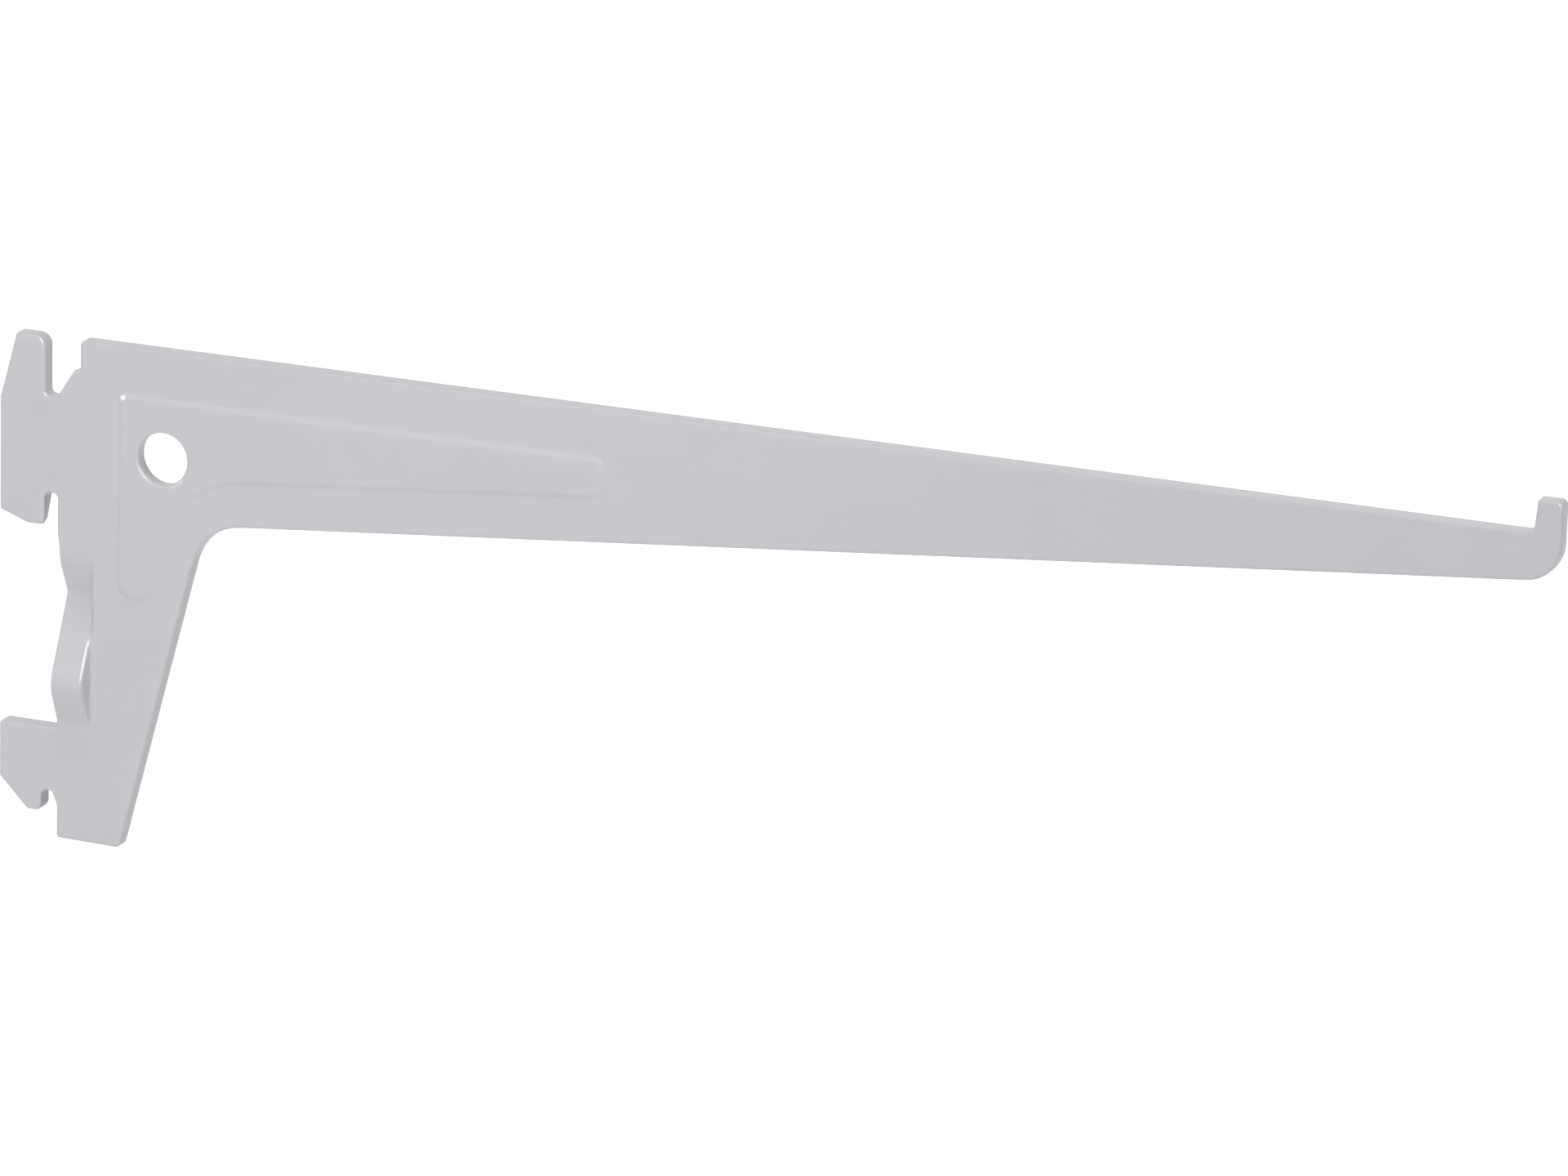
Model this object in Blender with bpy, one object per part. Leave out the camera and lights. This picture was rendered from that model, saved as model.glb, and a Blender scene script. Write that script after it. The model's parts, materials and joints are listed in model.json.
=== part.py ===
# Slotted shelf bracket: one steel plate, blanked, pressed and powder coated.
# X runs from the rail's face out to the nose, Y runs through the sheet, Z is up.
# The origin is the middle of the upper face that bears on the rail.
# Lengths are in metres.

import math

import bmesh
import bpy
from mathutils import Vector
from mathutils.geometry import delaunay_2d_cdt, intersect_line_line

OBJECT_NAME = "slotted_shelf_bracket"
PLATE_NAME = "bracket_plate"

# The sheet and its rounded rims
SHEET_THICKNESS = 0.003
RIM_RADIUS = 0.00045
RIM_SEGMENTS = 3

# The arm, which tapers from the rail out to the nose
ARM_REACH = 0.2505
ARM_TOP = 0.0318
ARM_DEPTH_AT_RAIL = 0.0304
ARM_DEPTH_AT_TIP = 0.0071
ARM_BACK_SETBACK = 0.00395
ARM_BACK_CORNER = 0.0008
TIP_CORNER = 0.0058

# The nose that stops the shelf at the arm's end
NOSE_RISE = 0.0052
NOSE_WIDTH = 0.00445
NOSE_DRAFT = 0.0004
NOSE_INNER_CORNER = 0.0005
NOSE_CORNER = 0.0010
NOSE_FOOT_FILLET = 0.0014

# The leg below the arm, which leans back to its foot
LEG_DROP = 0.0518
LEG_FOOT_WIDTH = 0.0112
LEG_FOOT_DIP = 0.0002
LEG_LEAN = math.radians(14.5)
LEG_FOOT_CORNER = 0.0009
LEG_HEEL_CORNER = 0.0005
ARM_LEG_FILLET = 0.0094

# The two hooks that hang in the rail's slots, one slot pitch apart
HOOK_PITCH = 0.050
HOOK_SEAT = 0.0059
HOOK_DEPTH = 0.0103
GAP_FILLET = 0.0009

# The upper hook, with a tab above its neck and a lip below it
UPPER_NECK = 0.0160
TAB_GAP = 0.00225
TAB_RISE = 0.0099
TAB_BACK_CHAMFER_RISE = 0.0111
TAB_BACK_CHAMFER_RUN = 0.00288
TAB_BACK_CORNER = 0.0005
TAB_FRONT_CORNER = 0.0020
UPPER_LIP_GAP = 0.00213
UPPER_LIP_DROP = 0.0055
UPPER_LIP_CHAMFER_RISE = 0.00175
UPPER_LIP_CHAMFER_RUN = 0.0049
UPPER_LIP_CORNER = 0.0010
UPPER_LIP_RELIEF = 0.00107

# The lead-in that opens the gap beside the tab
LEAD_IN_START = 0.0009
LEAD_IN_RISE = 0.0038
LEAD_IN_RUN = 0.0024
LEAD_IN_SETBACK = 0.00035
LEAD_IN_STEP_RISE = 0.0005

# The lower hook, with a lip only
LOWER_NECK = 0.0109
LOWER_LIP_GAP = 0.00265
LOWER_GAP_SLANT_RUN = 0.0009
LOWER_GAP_SLANT_DROP = 0.0022
LOWER_GAP_SLANT_FILLET = 0.0006
LOWER_GAP_LEG_FILLET = 0.0015
LOWER_LIP_DROP = 0.0036
LOWER_LIP_CHAMFER_RISE = 0.0050
LOWER_LIP_CHAMFER_RUN = 0.0050
LOWER_LIP_CORNER = 0.0013
LOWER_HOOK_CORNER = 0.0008

# Small corners that the blanking tool leaves
BLANK_CORNER = 0.0005

# The screw hole, which the punch leaves wider at the back
HOLE_DIAMETER = 0.0085
HOLE_BREAKOUT = 0.00025
HOLE_FROM_RAIL = 0.01875
HOLE_BELOW_ARM_TOP = 0.0177

# The stiffening rib, pressed towards the front along the arm and down the leg
RIB_HEIGHT = 0.00032
RIB_SLOPE_WIDTH = 0.0011
RIB_FROM_RAIL = 0.01055
RIB_END_FROM_RAIL = 0.0952
RIB_BELOW_ARM_TOP = 0.00755
RIB_ABOVE_ARM_EDGE = 0.0069
RIB_BEHIND_LEG_EDGE = 0.0051
RIB_FOOT = 0.0103
RIB_FOOT_CORNER = 0.003
RIB_CORNER = 0.002
RIB_INNER_SWEEP = 0.0144

# The wave pressed into the leg's back edge between the hooks, which keeps it square to the rail
WAVE_START = 0.0047
WAVE_HOLLOW = 0.0111
WAVE_CREST = 0.0250
WAVE_HOLLOW_DEPTH = 0.00316
WAVE_CREST_HEIGHT = 0.00325
WAVE_START_BEND = 0.0014
WAVE_HOLLOW_BEND = 0.0012
WAVE_CREST_BEND = 0.0017
WAVE_END_BEND = 0.0010

# The wave's side wall, with a sharp ridge on its proud face and a wide roll on its sunk face
WAVE_WIDTH = 0.0059
WAVE_WALL_DRAFT = 0.00006
WAVE_RIDGE_WIDTH = 0.0004
WAVE_RIDGE_DEPTH = 0.0004
WAVE_ROLL_WIDTH = 0.0010
WAVE_ROLL_DEPTH = 0.0008
WAVE_ROUNDED_SHARE = 0.6

# The press draws the back edge in beside the wave
DRAWN_IN = 0.0003
DRAWN_IN_START = 0.0006
DRAWN_IN_RUN = 0.0030
DRAWN_IN_END_RUN = 0.0107

# How finely round stretches are divided
ARC_STEP = math.radians(9)
ARC_ROOM = 0.98
SHORTEST_FACET = 0.00015
HOLE_SEGMENTS = 56
WAVE_ROW_SPACING = 0.0013
WALL_STEPS = 4
SMOOTH_ANGLE = math.radians(32)

# The powder coat
COAT_COLOUR = (0.61, 0.59, 0.63, 1.0)
COAT_ROUGHNESS = 0.45


def line_crossing(point_a, direction_a, point_b, direction_b):
    # The point where two lines in the plate's plane meet
    ends = (point_a, point_a + direction_a, point_b, point_b + direction_b)
    crossing = intersect_line_line(*[end.to_3d() for end in ends])
    return crossing[0].to_2d()


def rounded_loop(corners):
    # A closed outline from (point, radius) corners, each rounded by an arc that its sides have room for
    turns = []
    tangents = []
    for index, (corner, radius) in enumerate(corners):
        following = corners[(index + 1) % len(corners)][0]
        turns.append(math.pi - (corners[index - 1][0] - corner).angle(following - corner))
        tangents.append(radius * math.tan(turns[-1] / 2))
    loop = []
    for index, (corner, radius) in enumerate(corners):
        following = (index + 1) % len(corners)
        before = corners[index - 1][0] - corner
        after = corners[following][0] - corner
        turn = turns[index]
        if radius == 0 or turn < math.radians(0.5):
            loop.append(corner.copy())
            continue
        room = min(before.length / (tangents[index] + tangents[index - 1]),
                   after.length / (tangents[index] + tangents[following]))
        radius *= min(1, ARC_ROOM * room)
        steps = math.ceil(turn / ARC_STEP)
        steps = max(2, min(steps, int(radius * turn / SHORTEST_FACET)))
        tangent = radius * math.tan(turn / 2)
        middle = (before.normalized() + after.normalized()).normalized()
        centre = corner + middle * (radius / math.cos(turn / 2))
        spoke = corner + before.normalized() * tangent - centre
        last_spoke = corner + after.normalized() * tangent - centre
        side = 1 if spoke.cross(last_spoke) > 0 else -1
        for step in range(steps + 1):
            angle = side * turn * step / steps
            cosine, sine = math.cos(angle), math.sin(angle)
            loop.append(centre + Vector((spoke.x * cosine - spoke.y * sine,
                                         spoke.x * sine + spoke.y * cosine)))
    return loop


def circle_loop(centre, radius, segments):
    angles = [2 * math.pi * step / segments for step in range(segments)]
    return [centre + radius * Vector((math.cos(angle), math.sin(angle))) for angle in angles]


def inset_loop(loop, distance):
    # The same loop drawn inside itself; the loop runs clockwise, so its inner side is on the right
    inner = []
    for index, point in enumerate(loop):
        before = (point - loop[index - 1]).normalized()
        after = (loop[(index + 1) % len(loop)] - point).normalized()
        along = (before + after).normalized()
        inner.append(point + Vector((along.y, -along.x)) * (distance / along.dot(after)))
    return inner


def inside(point, loop):
    # Whether a point lies in a loop, by counting the sides above it
    crossings = 0
    for index, end in enumerate(loop):
        start = loop[index - 1]
        if (start.x > point.x) != (end.x > point.x):
            share = (point.x - start.x) / (end.x - start.x)
            crossings += start.y + share * (end.y - start.y) > point.y
    return crossings % 2 == 1


def distance_to_loop(point, loop):
    nearest = math.inf
    for index, end in enumerate(loop):
        start = loop[index - 1]
        side = end - start
        share = min(1, max(0, (point - start).dot(side) / side.length_squared))
        nearest = min(nearest, (start + side * share - point).length)
    return nearest


def smooth_step(share):
    share = min(1, max(0, share))
    return share * share * (3 - 2 * share)


def arm_underside(x):
    # Height of the arm's lower edge at a distance from the rail
    share = x / ARM_REACH
    return ARM_TOP - ARM_DEPTH_AT_RAIL * (1 - share) - ARM_DEPTH_AT_TIP * share


def edge_directions():
    # The directions of the arm's lower edge and of the leg's front edge
    underside = Vector((ARM_REACH, arm_underside(ARM_REACH) - arm_underside(0)))
    leg = Vector((math.tan(LEG_LEAN), 1))
    return underside, leg


def wave_end():
    # The wave lies flat again where the lower hook's corner begins
    return HOOK_SEAT - HOOK_PITCH + LOWER_NECK + BLANK_CORNER


def wave_bends():
    # Each bend of the wave as its height, the change of slope there and half the length of its curve
    stops = [
        (-WAVE_START, 0, WAVE_START_BEND),
        (-WAVE_HOLLOW, WAVE_HOLLOW_DEPTH, WAVE_HOLLOW_BEND),
        (-WAVE_CREST, -WAVE_CREST_HEIGHT, WAVE_CREST_BEND),
        (wave_end() + WAVE_END_BEND, 0, WAVE_END_BEND),
    ]
    slopes = [0]
    for upper, lower in zip(stops, stops[1:]):
        slopes.append((lower[1] - upper[1]) / (upper[0] - lower[0]))
    slopes.append(0)
    bends = []
    for (height, _, half_length), before, after in zip(stops, slopes, slopes[1:]):
        bends.append((height, after - before, half_length))
    return bends


def wave_offset(z):
    # How far the wave carries the sheet towards the back, and its slope there
    offset = 0
    slope = 0
    for height, change, half_length in wave_bends():
        below = height - z
        share = min(1, max(0, (below + half_length) / (2 * half_length)))
        slope += change * share
        offset += change * (max(0, below - half_length) + half_length * share * share)
    return offset, slope


def drawn_edge(z):
    # How far in the back edge lies at a height beside the wave
    start = smooth_step((-DRAWN_IN_START - z) / DRAWN_IN_RUN)
    end = smooth_step((z - wave_end()) / DRAWN_IN_END_RUN)
    return DRAWN_IN * start * end


def wave_rows():
    # Heights where the wave needs an edge across it, closer together in its bends
    rows = [-DRAWN_IN_START]
    for height, _, half_length in wave_bends():
        rows += [height + half_length * share for share in (1, 0.5, 0, -0.5, -1)]
    rows = sorted(rows, reverse=True)
    between = []
    for upper, lower in zip(rows, rows[1:]):
        steps = math.ceil((upper - lower) / WAVE_ROW_SPACING)
        between += [upper + (lower - upper) * step / steps for step in range(1, steps)]
    return sorted(rows + between, reverse=True)


def plate_outline():
    # Clockwise from the top of the arm's back edge
    underside, leg = edge_directions()
    foot = Vector((LEG_FOOT_WIDTH, -LEG_DROP - LEG_FOOT_DIP))
    inner_corner = line_crossing(Vector((0, arm_underside(0))), underside, foot, leg)
    nose_top = ARM_TOP + NOSE_RISE
    arm = [
        (Vector((ARM_BACK_SETBACK, ARM_TOP)), ARM_BACK_CORNER),
        (Vector((ARM_REACH - NOSE_WIDTH, ARM_TOP)), NOSE_FOOT_FILLET),
        (Vector((ARM_REACH - NOSE_WIDTH + NOSE_DRAFT, nose_top)), NOSE_INNER_CORNER),
        (Vector((ARM_REACH, nose_top)), NOSE_CORNER),
        (Vector((ARM_REACH, arm_underside(ARM_REACH))), TIP_CORNER),
    ]
    leg_edge = [
        (inner_corner, ARM_LEG_FILLET),
        (foot, LEG_FOOT_CORNER),
        (Vector((0, -LEG_DROP)), LEG_HEEL_CORNER),
    ]
    seat = HOOK_SEAT - HOOK_PITCH
    lip = seat - LOWER_LIP_DROP
    lower_hook = [
        (Vector((0, seat - LOWER_GAP_SLANT_DROP)), LOWER_GAP_LEG_FILLET),
        (Vector((-LOWER_GAP_SLANT_RUN, seat)), LOWER_GAP_SLANT_FILLET),
        (Vector((-LOWER_LIP_GAP, seat)), GAP_FILLET),
        (Vector((-LOWER_LIP_GAP, lip)), LOWER_LIP_CORNER),
        (Vector((LOWER_LIP_CHAMFER_RUN - HOOK_DEPTH, lip)), BLANK_CORNER),
        (Vector((-HOOK_DEPTH, lip + LOWER_LIP_CHAMFER_RISE)), BLANK_CORNER),
        (Vector((-HOOK_DEPTH, seat + LOWER_NECK)), LOWER_HOOK_CORNER),
        (Vector((0, seat + LOWER_NECK)), BLANK_CORNER),
    ]
    wave = [(Vector((drawn_edge(row), row)), 0) for row in reversed(wave_rows())]
    lip = HOOK_SEAT - UPPER_LIP_DROP
    neck_top = HOOK_SEAT + UPPER_NECK
    tab_top = neck_top + TAB_RISE
    upper_hook = [
        (Vector((0, HOOK_SEAT)), GAP_FILLET),
        (Vector((-UPPER_LIP_GAP, HOOK_SEAT)), GAP_FILLET),
        (Vector((-UPPER_LIP_GAP, lip)), UPPER_LIP_CORNER),
        (Vector((UPPER_LIP_CHAMFER_RUN - HOOK_DEPTH, lip)), UPPER_LIP_CORNER),
        (Vector((-HOOK_DEPTH, lip + UPPER_LIP_CHAMFER_RISE)), BLANK_CORNER),
        (Vector((-HOOK_DEPTH, tab_top - TAB_BACK_CHAMFER_RISE)), TAB_BACK_CORNER),
        (Vector((TAB_BACK_CHAMFER_RUN - HOOK_DEPTH, tab_top)), TAB_BACK_CORNER),
        (Vector((-TAB_GAP, tab_top)), TAB_FRONT_CORNER),
        (Vector((-TAB_GAP, neck_top)), GAP_FILLET),
    ]
    lead_in_top = neck_top + LEAD_IN_START + LEAD_IN_RISE
    lead_in = [
        (Vector((LEAD_IN_SETBACK, neck_top)), BLANK_CORNER),
        (Vector((LEAD_IN_SETBACK, neck_top + LEAD_IN_START)), BLANK_CORNER),
        (Vector((LEAD_IN_SETBACK + LEAD_IN_RUN, lead_in_top)), BLANK_CORNER),
        (Vector((ARM_BACK_SETBACK, lead_in_top + LEAD_IN_STEP_RISE)), BLANK_CORNER),
    ]
    return rounded_loop(arm + leg_edge + lower_hook + wave + upper_hook + lead_in)


def rib_outline():
    # Clockwise along the arm, back above its lower edge and down the leg
    underside, leg = edge_directions()
    top = ARM_TOP - RIB_BELOW_ARM_TOP
    lower_edge = Vector((0, arm_underside(0) + RIB_ABOVE_ARM_EDGE))
    leg_side = Vector((LEG_FOOT_WIDTH - RIB_BEHIND_LEG_EDGE, -LEG_DROP))
    upright = Vector((0, 1))
    level = Vector((1, 0))
    end = Vector((RIB_END_FROM_RAIL, top))
    foot = Vector((RIB_FROM_RAIL, -RIB_FOOT))
    corners = [
        (Vector((RIB_FROM_RAIL, top)), RIB_CORNER),
        (end, RIB_CORNER),
        (line_crossing(lower_edge, underside, end, upright), RIB_CORNER),
        (line_crossing(lower_edge, underside, leg_side, leg), RIB_INNER_SWEEP),
        (line_crossing(leg_side, leg, foot, level), RIB_FOOT_CORNER),
        (foot, RIB_FOOT_CORNER),
    ]
    return rounded_loop(corners)


def wave_grid():
    # Rows of points across the wave, with columns that follow the rounded sides of its wall
    turns = [math.sin(math.pi / 2 * step / WALL_STEPS) for step in range(WALL_STEPS + 1)]
    ridge = [WAVE_WIDTH - WAVE_RIDGE_WIDTH * (1 - turn) for turn in turns]
    roll_end = WAVE_WIDTH + WAVE_WALL_DRAFT + WAVE_ROLL_WIDTH
    roll = [roll_end - WAVE_ROLL_WIDTH * turn for turn in reversed(turns)]
    return [[Vector((column, row)) for column in [drawn_edge(row)] + ridge + roll] for row in wave_rows()]


def flat_triangles(outline, hole, rib):
    # The blank's plane divided so that every fold of the pressed shape falls on an edge
    points = []
    edges = []
    rib_rings = [inset_loop(rib, RIB_SLOPE_WIDTH * share) for share in (0, 0.25, 0.5, 0.75, 1)]
    for loop in [outline, hole] + rib_rings:
        first = len(points)
        points += loop
        edges += [(first + index, first + (index + 1) % len(loop)) for index in range(len(loop))]
    grid = wave_grid()
    width = len(grid[0])
    first = len(points)
    for row in grid:
        points += row
    for row in range(len(grid)):
        for column in range(width):
            here = first + row * width + column
            if column + 1 < width:
                edges.append((here, here + 1))
            if row + 1 < len(grid):
                edges.append((here, here + width))
    corners, _, triangles, _, _, _ = delaunay_2d_cdt(points, edges, [], 0, 1e-7)
    kept = []
    for triangle in triangles:
        middle = sum((corners[index] for index in triangle), Vector((0, 0))) / 3
        if inside(middle, outline) and not inside(middle, hole):
            kept.append(triangle)
    return corners, kept


def rounded_drop(share, depth):
    # How far a quarter-round edge has fallen at a share of its width
    share = min(1, max(0, share))
    return depth * (1 - math.sqrt(1 - share * share))


def wave_height(point, side):
    # Where the wave carries one face of the sheet: -1 is the front face, 1 the back face
    offset, slope = wave_offset(point.y)
    proud = offset * side
    rounded = WAVE_ROUNDED_SHARE * abs(offset)
    wall = WAVE_WIDTH + WAVE_WALL_DRAFT / 2
    if point.x > wall:
        share = (WAVE_WIDTH + WAVE_WALL_DRAFT + WAVE_ROLL_WIDTH - point.x) / WAVE_ROLL_WIDTH
        drop = rounded_drop(share, min(WAVE_ROLL_DEPTH, rounded)) if proud < 0 else 0
        return 1, -side * drop
    share = (point.x - WAVE_WIDTH + WAVE_RIDGE_WIDTH) / WAVE_RIDGE_WIDTH
    drop = rounded_drop(share, min(WAVE_RIDGE_DEPTH, rounded)) if proud > 0 else 0
    # Across the wave's slopes the sheet keeps its thickness, so it is deeper along Y
    return math.hypot(1, slope), offset - side * drop


def rib_height(point, rib):
    if not inside(point, rib):
        return 0
    return RIB_HEIGHT * smooth_step(distance_to_loop(point, rib) / RIB_SLOPE_WIDTH)


def blank(outline, hole, rib):
    # The flat plate, extruded from its triangles, with rounded rims
    mesh = bmesh.new()
    corners, triangles = flat_triangles(outline, hole, rib)
    used = sorted({index for triangle in triangles for index in triangle})
    front = -SHEET_THICKNESS / 2
    verts = {index: mesh.verts.new((corners[index].x, front, corners[index].y)) for index in used}
    for triangle in triangles:
        mesh.faces.new([verts[index] for index in triangle])
    extruded = bmesh.ops.extrude_face_region(mesh, geom=mesh.faces[:])
    back = [item for item in extruded["geom"] if isinstance(item, bmesh.types.BMVert)]
    bmesh.ops.translate(mesh, verts=back, vec=(0, SHEET_THICKNESS, 0))
    bmesh.ops.recalc_face_normals(mesh, faces=mesh.faces)
    rims = [edge for edge in mesh.edges if edge.calc_face_angle() > math.radians(80)]
    bmesh.ops.bevel(mesh, geom=rims, offset=RIM_RADIUS, offset_type="OFFSET",
                    segments=RIM_SEGMENTS, profile=0.5, affect="EDGES",
                    clamp_overlap=False, loop_slide=False)
    return mesh


def open_hole_at_back(mesh, centre):
    # The punch breaks out a little wider than it goes in
    for vert in mesh.verts:
        spoke = Vector((vert.co.x, vert.co.z)) - centre
        if spoke.length < HOLE_DIAMETER / 2 + 2 * RIM_RADIUS:
            share = smooth_step(vert.co.y / SHEET_THICKNESS + 0.5)
            spoke *= 1 + share * HOLE_BREAKOUT / spoke.length
            vert.co.x = centre.x + spoke.x
            vert.co.z = centre.y + spoke.y


def slant_lip(mesh):
    # The upper lip's inner wall leans away from the rail, most of all at its tip and at the back
    heel = UPPER_LIP_CHAMFER_RUN - HOOK_DEPTH
    for vert in mesh.verts:
        down = (HOOK_SEAT - vert.co.z) / UPPER_LIP_DROP
        across = (vert.co.x - heel) / (-UPPER_LIP_GAP - heel)
        if 0 < down < 2 and 0 < across and vert.co.x < -UPPER_LIP_GAP / 2:
            through = vert.co.y / SHEET_THICKNESS + 0.5
            vert.co.x -= UPPER_LIP_RELIEF * min(1, down) * min(1, across) * through


def press(mesh, rib):
    # The rib and the wave move both faces of the sheet together
    for vert in mesh.verts:
        point = Vector((vert.co.x, vert.co.z))
        stretch, height = wave_height(point, 1 if vert.co.y > 0 else -1)
        vert.co.y = vert.co.y * stretch + height - rib_height(point, rib)


def powder_coat():
    material = bpy.data.materials.new("powder_coated_steel")
    material.use_nodes = True
    shader = material.node_tree.nodes["Principled BSDF"]
    shader.inputs["Base Color"].default_value = COAT_COLOUR
    shader.inputs["Roughness"].default_value = COAT_ROUGHNESS
    shader.inputs["Metallic"].default_value = 0.0
    return material


def bracket_plate(collection):
    centre = Vector((HOLE_FROM_RAIL, ARM_TOP - HOLE_BELOW_ARM_TOP))
    hole = circle_loop(centre, HOLE_DIAMETER / 2, HOLE_SEGMENTS)
    rib = rib_outline()
    plate = blank(plate_outline(), hole, rib)
    open_hole_at_back(plate, centre)
    slant_lip(plate)
    press(plate, rib)
    mesh = bpy.data.meshes.new(PLATE_NAME)
    plate.to_mesh(mesh)
    plate.free()
    mesh.shade_smooth()
    mesh.set_sharp_from_angle(angle=SMOOTH_ANGLE)
    mesh.materials.append(powder_coat())
    item = bpy.data.objects.new(PLATE_NAME, mesh)
    collection.objects.link(item)
    # The flat faces keep their own normals beside the rounded rims
    shading = item.modifiers.new("flat_face_normals", "WEIGHTED_NORMAL")
    shading.keep_sharp = True


def main():
    for item in list(bpy.data.objects):
        bpy.data.objects.remove(item, do_unlink=True)
    collection = bpy.data.collections.new(OBJECT_NAME)
    bpy.context.scene.collection.children.link(collection)
    bracket_plate(collection)


main()
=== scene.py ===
# A slotted shelf bracket of pressed, powder-coated steel sheet, on white. Lengths are in metres.
import json
import math
import bpy
from mathutils import Matrix, Vector

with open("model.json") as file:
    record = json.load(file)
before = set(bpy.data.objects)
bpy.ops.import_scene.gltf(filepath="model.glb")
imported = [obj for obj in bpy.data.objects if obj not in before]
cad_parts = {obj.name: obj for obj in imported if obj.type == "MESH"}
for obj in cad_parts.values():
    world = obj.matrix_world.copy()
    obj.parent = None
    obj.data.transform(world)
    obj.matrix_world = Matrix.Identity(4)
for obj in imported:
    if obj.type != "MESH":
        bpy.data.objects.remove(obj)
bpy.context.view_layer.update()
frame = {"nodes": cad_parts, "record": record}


# Small helpers for node trees

def addNode(tree, kind, at, **values):
    node = tree.nodes.new(kind)
    node.location = at
    for name, value in values.items():
        setattr(node, name, value)
    return node


def noiseOn(tree, coordinates, at, look):
    noise = addNode(tree, "ShaderNodeTexNoise", at)
    noise.inputs["Scale"].default_value = look["scale"]
    noise.inputs["Detail"].default_value = look["detail"]
    tree.links.new(coordinates, noise.inputs["Vector"])
    return noise.outputs["Fac"]


def mapTo(tree, value, at, low, high, fromLow=0.0, fromHigh=1.0):
    node = addNode(tree, "ShaderNodeMapRange", at)
    node.inputs["From Min"].default_value = fromLow
    node.inputs["From Max"].default_value = fromHigh
    node.inputs["To Min"].default_value = low
    node.inputs["To Max"].default_value = high
    tree.links.new(value, node.inputs["Value"])
    return node.outputs["Result"]


def mathOn(tree, operation, first, second, at):
    node = addNode(tree, "ShaderNodeMath", at, operation=operation)
    for socket, value in zip(node.inputs, (first, second)):
        if isinstance(value, (int, float)):
            socket.default_value = value
        else:
            tree.links.new(value, socket)
    return node.outputs[0]


# Places on the bracket, from its record

seats = {mount["name"]: mount["pos_m"] for mount in frame["record"]["mounts"]}
openings = {opening["name"]: opening["box_m"] for opening in frame["record"]["physics"]["openings"]}
holeLow, holeHigh = (Vector(corner) for corner in openings["screw_hole"])
holeCentre = (holeLow + holeHigh) / 2


# The powder coat: one glossy layer with a soft orange peel, a fine grain and a little mottling

powderCoat = {
    "name": "powderCoat",
    "colour": (0.603, 0.589, 0.625, 1.0),
    "colourLight": (0.611, 0.597, 0.633, 1.0),
    "roughness": (0.23, 0.28),
    "specular": 0.42,
    "mottle": {"scale": 70.0, "detail": 3.0, "spread": (0.35, 0.65)},  # scales are per metre
    "peel": {"scale": 620.0, "detail": 1.0, "height": 0.0000035},
    "grain": {"scale": 5200.0, "detail": 2.0, "height": 0.0000008},
    "inGaps": {  # painted shade: darker on the walls of the two narrow gaps behind the lips
        "colour": (0.43, 0.42, 0.44, 1.0),
        "span": (-0.0036, -0.0006),  # along X, for both gaps
        "depths": {"hook_seat_upper": 0.0053, "hook_seat_lower": 0.0035},  # down from the hooks' seats
        "fade": 0.0004,
        "facing": (0.3, 0.8),  # how squarely a wall faces along X, from no effect to full
    },
    "rounding": {  # how the coat rounds the edges, wider on two forms
        "radius": 0.0003,
        "radiusAtForms": 0.0009,
        "samples": 8,
        "forms": {
            "waveRidge": {"centre": (0.0060, 0.0, -0.0260), "reach": (0.0022, 0.0060, 0.0135)},
            "holeLowerRim": {"centre": holeCentre - Vector((0.0, 0.0, 0.0031)),
                             "reach": (0.0065, 0.0060, 0.0065)},
        },
        "fade": (0.9, 1.1),  # the shares of the reach between which the wider rounding ends
    },
}


def bandOn(tree, value, at, low, high, fade):
    # One between two values, fading to zero beyond them
    rise = mapTo(tree, value, at, 0.0, 1.0, low - fade, low)
    fall = mapTo(tree, value, (at[0], at[1] - 280), 1.0, 0.0, high, high + fade)
    return mathOn(tree, "MULTIPLY", rise, fall, (at[0] + 200, at[1]))


def gapWalls(tree, place, look):
    # One on the walls of the gaps that face along X, where the painted shade goes
    split = addNode(tree, "ShaderNodeSeparateXYZ", (-2400, 900))
    tree.links.new(place, split.inputs[0])
    geometry = addNode(tree, "ShaderNodeNewGeometry", (-2600, 1200))
    facing = addNode(tree, "ShaderNodeSeparateXYZ", (-2400, 1200))
    tree.links.new(geometry.outputs["Normal"], facing.inputs[0])
    sideways = mathOn(tree, "ABSOLUTE", facing.outputs["X"], 0.0, (-2200, 1200))
    mask = 0.0
    for index, (seat, depth) in enumerate(look["depths"].items()):
        at = (-2200, 900 - 600 * index)
        top = seats[seat][2]
        inX = bandOn(tree, split.outputs["X"], at, *look["span"], look["fade"])
        inZ = bandOn(tree, split.outputs["Z"], (at[0] + 400, at[1]), top - depth, top, look["fade"])
        inGap = mathOn(tree, "MULTIPLY", inX, inZ, (at[0] + 800, at[1]))
        mask = mathOn(tree, "MAXIMUM", inGap, mask, (at[0] + 1000, at[1]))
    squarely = mapTo(tree, sideways, (-1400, 1200), 0.0, 1.0, *look["facing"])
    return mathOn(tree, "MULTIPLY", mask, squarely, (-1000, 900))


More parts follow.
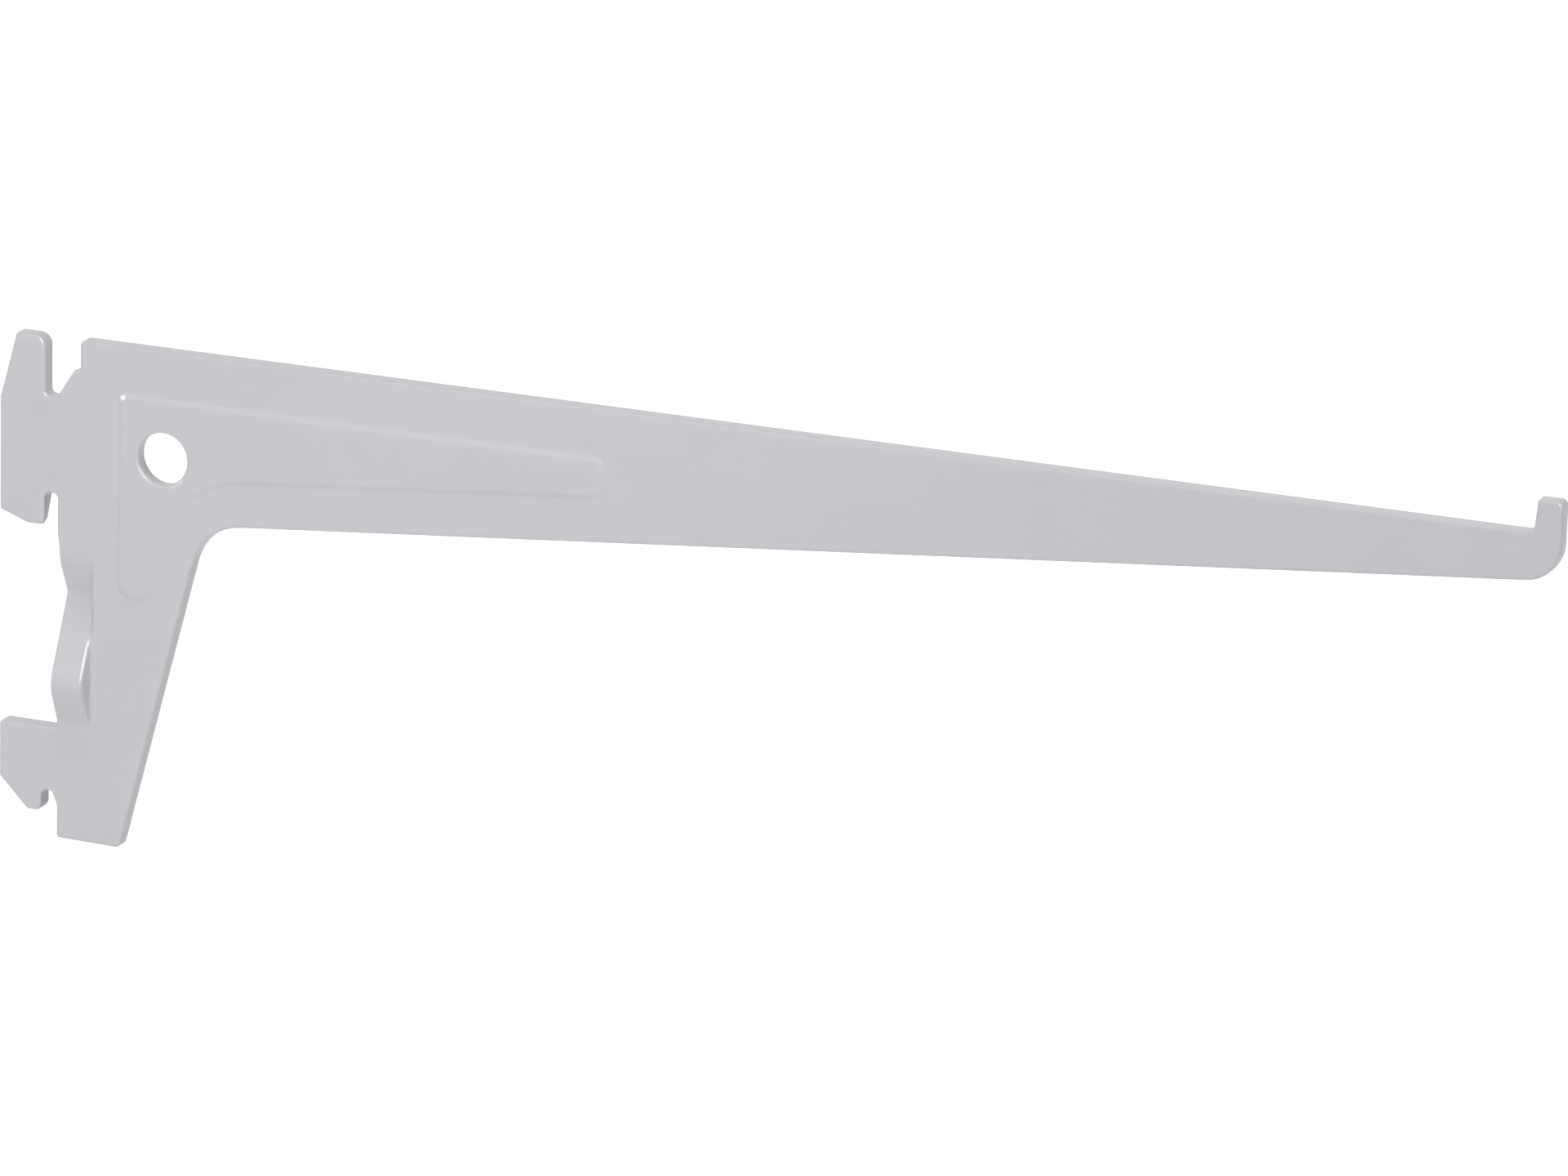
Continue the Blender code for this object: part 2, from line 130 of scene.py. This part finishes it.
def roundingRadius(tree, place, look):
    # The radius of the coat over an edge, wider inside an ellipsoid around each named form
    mask = 0.0
    for index, form in enumerate(look["forms"].values()):
        at = (-2200, -900 - 400 * index)
        away = addNode(tree, "ShaderNodeVectorMath", at, operation="SUBTRACT")
        away.inputs[1].default_value = form["centre"]
        tree.links.new(place, away.inputs[0])
        share = addNode(tree, "ShaderNodeVectorMath", (at[0] + 200, at[1]), operation="DIVIDE")
        share.inputs[1].default_value = form["reach"]
        tree.links.new(away.outputs["Vector"], share.inputs[0])
        length = addNode(tree, "ShaderNodeVectorMath", (at[0] + 400, at[1]), operation="LENGTH")
        tree.links.new(share.outputs["Vector"], length.inputs[0])
        near = mapTo(tree, length.outputs["Value"], (at[0] + 600, at[1]), 1.0, 0.0, *look["fade"])
        mask = mathOn(tree, "MAXIMUM", near, mask, (at[0] + 800, at[1]))
    return mapTo(tree, mask, (-1000, -900), look["radius"], look["radiusAtForms"])


def makePowderCoat(look):
    material = bpy.data.materials.new(look["name"])
    material.use_nodes = True
    tree = material.node_tree
    shader = tree.nodes["Principled BSDF"]
    shader.inputs["Metallic"].default_value = 0.0
    shader.inputs["Specular IOR Level"].default_value = look["specular"]
    place = addNode(tree, "ShaderNodeTexCoord", (-1400, 0)).outputs["Object"]
    mottle = noiseOn(tree, place, (-1100, 300), look["mottle"])
    peel = noiseOn(tree, place, (-1100, 0), look["peel"])
    grain = noiseOn(tree, place, (-1100, -300), look["grain"])
    # Colour, mottled and then darkened with painted shade in the gaps
    tint = addNode(tree, "ShaderNodeMix", (-500, 300), data_type="RGBA")
    tint.inputs["A"].default_value = look["colour"]
    tint.inputs["B"].default_value = look["colourLight"]
    lighter = mapTo(tree, mottle, (-800, 300), 0.0, 1.0, *look["mottle"]["spread"])
    tree.links.new(lighter, tint.inputs["Factor"])
    paintedGapShade = addNode(tree, "ShaderNodeMix", (-250, 300), data_type="RGBA")
    paintedGapShade.inputs["B"].default_value = look["inGaps"]["colour"]
    tree.links.new(tint.outputs["Result"], paintedGapShade.inputs["A"])
    tree.links.new(gapWalls(tree, place, look["inGaps"]), paintedGapShade.inputs["Factor"])
    tree.links.new(paintedGapShade.outputs["Result"], shader.inputs["Base Color"])
    tree.links.new(mapTo(tree, mottle, (-500, 0), *look["roughness"]), shader.inputs["Roughness"])
    # Relief of the peel and the grain, over edges that the coat rounds
    peelRelief = mathOn(tree, "MULTIPLY", peel, look["peel"]["height"], (-800, -100))
    grainRelief = mathOn(tree, "MULTIPLY", grain, look["grain"]["height"], (-800, -300))
    bump = addNode(tree, "ShaderNodeBump", (-300, -200))
    bump.inputs["Distance"].default_value = 1.0  # so that the heights are in metres
    tree.links.new(mathOn(tree, "ADD", peelRelief, grainRelief, (-600, -200)), bump.inputs["Height"])
    rounding = addNode(tree, "ShaderNodeBevel", (-500, -450), samples=look["rounding"]["samples"])
    tree.links.new(roundingRadius(tree, place, look["rounding"]), rounding.inputs["Radius"])
    tree.links.new(rounding.outputs["Normal"], bump.inputs["Normal"])
    tree.links.new(bump.outputs["Normal"], shader.inputs["Normal"])
    return material


# The plate itself, carried over from the solid, with smooth bends and flat faces

plate = {
    "node": "bracket_plate",
    "weldDistance": 0.000002,  # joins the solid's separate facets
    "creaseAngle": 34.0,  # degrees; a gentler edge is shaded smooth
}


def softBends(creaseAngle):
    group = bpy.data.node_groups.new("softBends", "GeometryNodeTree")
    group.interface.new_socket("Geometry", in_out="INPUT", socket_type="NodeSocketGeometry")
    group.interface.new_socket("Geometry", in_out="OUTPUT", socket_type="NodeSocketGeometry")
    start = addNode(group, "NodeGroupInput", (-600, 0))
    end = addNode(group, "NodeGroupOutput", (600, 0))
    faces = addNode(group, "GeometryNodeSetShadeSmooth", (-200, 0), domain="FACE")
    edges = addNode(group, "GeometryNodeSetShadeSmooth", (200, 0), domain="EDGE")
    angle = addNode(group, "GeometryNodeInputMeshEdgeAngle", (-400, -250))
    gentle = addNode(group, "FunctionNodeCompare", (-100, -250), data_type="FLOAT", operation="LESS_THAN")
    gentle.inputs["B"].default_value = math.radians(creaseAngle)
    group.links.new(start.outputs[0], faces.inputs["Geometry"])
    group.links.new(faces.outputs["Geometry"], edges.inputs["Geometry"])
    group.links.new(angle.outputs["Unsigned Angle"], gentle.inputs["A"])
    group.links.new(gentle.outputs["Result"], edges.inputs["Shade Smooth"])
    group.links.new(edges.outputs["Geometry"], end.inputs[0])
    return group


def dressPlate(look, material):
    item = frame["nodes"][look["node"]]
    weld = item.modifiers.new("weld", "WELD")
    weld.merge_threshold = look["weldDistance"]
    bends = item.modifiers.new("softBends", "NODES")
    bends.node_group = softBends(look["creaseAngle"])
    flats = item.modifiers.new("flatFaces", "WEIGHTED_NORMAL")
    flats.keep_sharp = True
    for slot in item.material_slots:
        slot.link = "OBJECT"
        slot.material = material


dressPlate(plate, makePowderCoat(powderCoat))
print("plate dressed")


# White floor and surroundings: both show white to the camera and to reflections

studio = {
    "floorHeight": -0.32,
    "floorSide": 3.0,
    "floorColour": (0.80, 0.80, 0.80, 1.0),
    "floorRoughness": 0.9,
    "floorGlow": 0.52,  # seen by the camera and in reflections only, to bring the floor to white
    "surroundColour": (1.0, 1.0, 0.985, 1.0),
    "surroundLevel": 0.338,
    "surroundSlope": (-0.18, -0.10, 0.05),  # how much brighter it is towards +X, +Y and +Z
}


def seenRays(tree, at):
    # One where the camera, a reflection or a see-through ray looks, and zero for plain light
    path = addNode(tree, "ShaderNodeLightPath", at)
    seen = mathOn(tree, "MAXIMUM", path.outputs["Is Camera Ray"], path.outputs["Is Glossy Ray"],
                  (at[0] + 200, at[1]))
    return mathOn(tree, "MAXIMUM", seen, path.outputs["Is Transmission Ray"], (at[0] + 400, at[1]))


def makeFloor(look):
    half = look["floorSide"] / 2
    mesh = bpy.data.meshes.new("studioFloor")
    corners = [(-half, -half), (half, -half), (half, half), (-half, half)]
    mesh.from_pydata([(x, y, look["floorHeight"]) for x, y in corners], [], [(0, 1, 2, 3)])
    material = bpy.data.materials.new("whiteFloor")
    material.use_nodes = True
    tree = material.node_tree
    shader = tree.nodes["Principled BSDF"]
    shader.inputs["Base Color"].default_value = look["floorColour"]
    shader.inputs["Roughness"].default_value = look["floorRoughness"]
    shader.inputs["Specular IOR Level"].default_value = 0.0
    shader.inputs["Emission Color"].default_value = (1, 1, 1, 1)
    glow = mathOn(tree, "MULTIPLY", seenRays(tree, (-900, -300)), look["floorGlow"], (-200, -300))
    tree.links.new(glow, shader.inputs["Emission Strength"])
    mesh.materials.append(material)
    floor = bpy.data.objects.new("studioFloor", mesh)
    bpy.context.scene.collection.objects.link(floor)


def makeSurround(look):
    world = bpy.data.worlds.new("whiteSurround")
    world.use_nodes = True
    tree = world.node_tree
    background = tree.nodes["Background"]
    seen = seenRays(tree, (-900, 0))
    colour = addNode(tree, "ShaderNodeMix", (-300, 200), data_type="RGBA")
    colour.inputs["A"].default_value = look["surroundColour"]
    colour.inputs["B"].default_value = (1, 1, 1, 1)
    tree.links.new(seen, colour.inputs["Factor"])
    tree.links.new(colour.outputs["Result"], background.inputs["Color"])
    direction = addNode(tree, "ShaderNodeTexCoord", (-1100, -300)).outputs["Generated"]
    slope = addNode(tree, "ShaderNodeVectorMath", (-900, -300), operation="DOT_PRODUCT")
    slope.inputs[1].default_value = look["surroundSlope"]
    tree.links.new(direction, slope.inputs[0])
    sloped = mathOn(tree, "ADD", slope.outputs["Value"], 1.0, (-700, -300))
    lit = mathOn(tree, "MULTIPLY", sloped, look["surroundLevel"], (-500, -300))
    strength = addNode(tree, "ShaderNodeMix", (-300, 0), data_type="FLOAT")
    strength.inputs["B"].default_value = 1.0
    tree.links.new(seen, strength.inputs["Factor"])
    tree.links.new(lit, strength.inputs["A"])
    tree.links.new(strength.outputs["Result"], background.inputs["Strength"])
    bpy.context.scene.world = world


makeFloor(studio)
makeSurround(studio)
print("floor and surroundings made")


# Lamps: suns by direction and spread in degrees, near lamps by place and size, all of them white

lamps = {  # a lamp that is only diffuse makes no glint, and one that is only glossy makes nothing else
    "keySun": {"from": (0.30, -0.93, 0.20), "spread": 20.0, "strength": 1.02},
    "sideSun": {"from": (0.72, -0.26, 0.64), "spread": 30.0, "strength": 0.14},
    "topSun": {"from": (0.0, -0.17, 0.98), "spread": 30.0, "strength": 0.76},
    "backSun": {"from": (-0.35, 0.92, 0.18), "spread": 40.0, "strength": 1.0, "only": "diffuse"},
    "glintRight": {"from": (0.38, -0.90, 0.22), "spread": 8.0, "strength": 1.3, "only": "glossy"},
    "glintHigh": {"from": (0.28, -0.81, 0.51), "spread": 8.0, "strength": 3.8, "only": "glossy"},
    "glintLeft": {"from": (-0.70, -0.70, 0.10), "spread": 8.0, "strength": 1.0, "only": "glossy"},
    "nearLeft": {"at": (0.02, -0.20, 0.03), "aim": (0.02, 0.0, 0.0), "size": (0.12, 0.12), "power": 0.040},
    "nearRight": {"at": (0.16, -0.20, 0.08), "aim": (0.02, 0.0, 0.0), "size": (0.12, 0.12), "power": 0.022},
    "nearTop": {"at": (0.21, -0.02, 0.22), "aim": (0.21, 0.0, 0.0), "size": (0.10, 0.10), "power": 0.027},
}


def placeLamps(table):
    for name, lamp in table.items():
        if "spread" in lamp:
            data = bpy.data.lights.new(name, "SUN")
            data.angle = math.radians(lamp["spread"])
            data.energy = lamp["strength"]
            place = Vector(lamp["from"])
            facing = -place
        else:
            data = bpy.data.lights.new(name, "AREA")
            data.shape = "RECTANGLE"
            data.size, data.size_y = lamp["size"]
            data.energy = lamp["power"]
            place = Vector(lamp["at"])
            facing = Vector(lamp["aim"]) - place
        item = bpy.data.objects.new(name, data)
        item.location = place
        item.rotation_euler = facing.to_track_quat("-Z", "Y").to_euler()
        item.visible_diffuse = lamp.get("only") != "glossy"
        item.visible_glossy = lamp.get("only") != "diffuse"
        bpy.context.scene.collection.objects.link(item)


placeLamps(lamps)
print("lamps placed")


# The camera, at the photograph's angle with its slight roll

camera = {
    "azimuth": 21.80,
    "elevation": 16.16,
    "roll": 1.56,
    "lens": 207.36,  # millimetres, as the sensor
    "sensor": 36.0,
    "distance": 1.40194,
    "target": (0.125065, 0.0, 0.006609),
    "clip": (0.05, 30.0),
}


def placeCamera(view):
    azimuth, elevation, roll = (math.radians(view[name]) for name in ("azimuth", "elevation", "roll"))
    back = Vector((math.sin(azimuth) * math.cos(elevation), -math.cos(azimuth) * math.cos(elevation),
                   math.sin(elevation)))
    right = Vector((math.cos(azimuth), math.sin(azimuth), 0.0))
    up = back.cross(right)
    rolledRight = right * math.cos(roll) + up * math.sin(roll)
    rolledUp = up * math.cos(roll) - right * math.sin(roll)
    data = bpy.data.cameras.new("mainCamera")
    data.lens = view["lens"]
    data.sensor_width = view["sensor"]
    data.sensor_fit = "HORIZONTAL"
    data.clip_start, data.clip_end = view["clip"]
    item = bpy.data.objects.new("mainCamera", data)
    bpy.context.scene.collection.objects.link(item)
    turn = Matrix((rolledRight, rolledUp, back)).transposed().to_4x4()
    turn.translation = Vector(view["target"]) + back * view["distance"]
    item.matrix_world = turn
    bpy.context.scene.camera = item


placeCamera(camera)
bpy.context.scene.view_settings.view_transform = "Standard"
print("camera placed")
